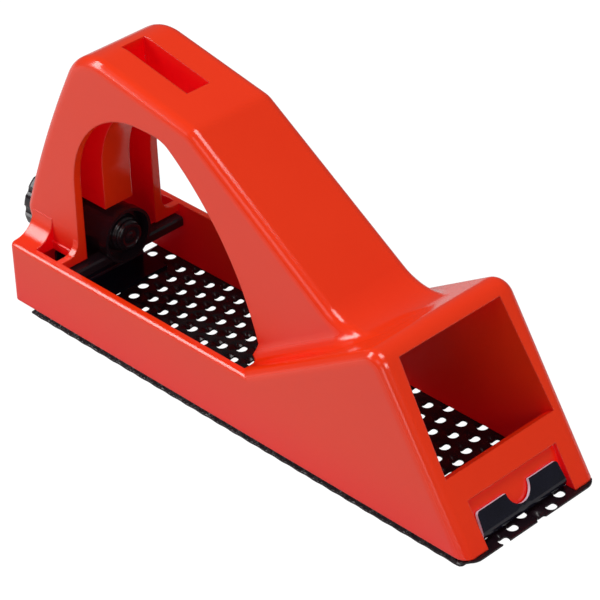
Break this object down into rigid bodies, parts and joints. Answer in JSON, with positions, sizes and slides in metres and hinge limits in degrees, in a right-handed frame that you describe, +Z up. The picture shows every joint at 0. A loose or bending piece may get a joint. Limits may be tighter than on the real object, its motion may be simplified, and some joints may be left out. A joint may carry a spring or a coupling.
{
  "type": "pocket rasp plane",
  "caption": "Small shaping plane: moulded loop handle and windowed nose over a perforated rasp blade, tensioned by a rear screw knob.",
  "frame": {"origin": "on the plane of the tooth tips, midway along and across the whole tool", "axes": "+X towards the nose, along the cutting stroke; +Z up through the handle; Y across the blade"},
  "size_m": [0.1656, 0.044, 0.077],
  "materials": {
    "body_plastic": "glossy orange-red moulding with fine matt sides",
    "blade_steel": "black lacquered spring steel",
    "hook_steel": "black coated steel with bare sheared edges",
    "black_plastic": "black moulding, half gloss"
  },
  "bodies": {
    "body": {"body": "body_plastic"},
    "blade_carriage": {"rasp_blade": "blade_steel", "front_hook_plate": "hook_steel", "rear_hook_plate": "hook_steel", "tension_bar": "black_plastic"},
    "tension_screw": {"tension_screw": "black_plastic", "adjusting_knob": "black_plastic"}
  },
  "joints": [
    {"name": "screw_turn", "type": "hinge", "parent": "body", "child": "tension_screw", "pos_m": [-0.073, 0, 0.0195], "axis": [1, 0, 0], "range_deg": [-720, 0]},
    {"name": "blade_travel", "type": "slide", "parent": "body", "child": "blade_carriage", "axis": [1, 0, 0], "range_m": [0, 0.004]}
  ],
  "couplings": [
    {"joint": "screw_turn", "follows": "blade_travel", "rad_per_m": -3141.5}
  ]
}
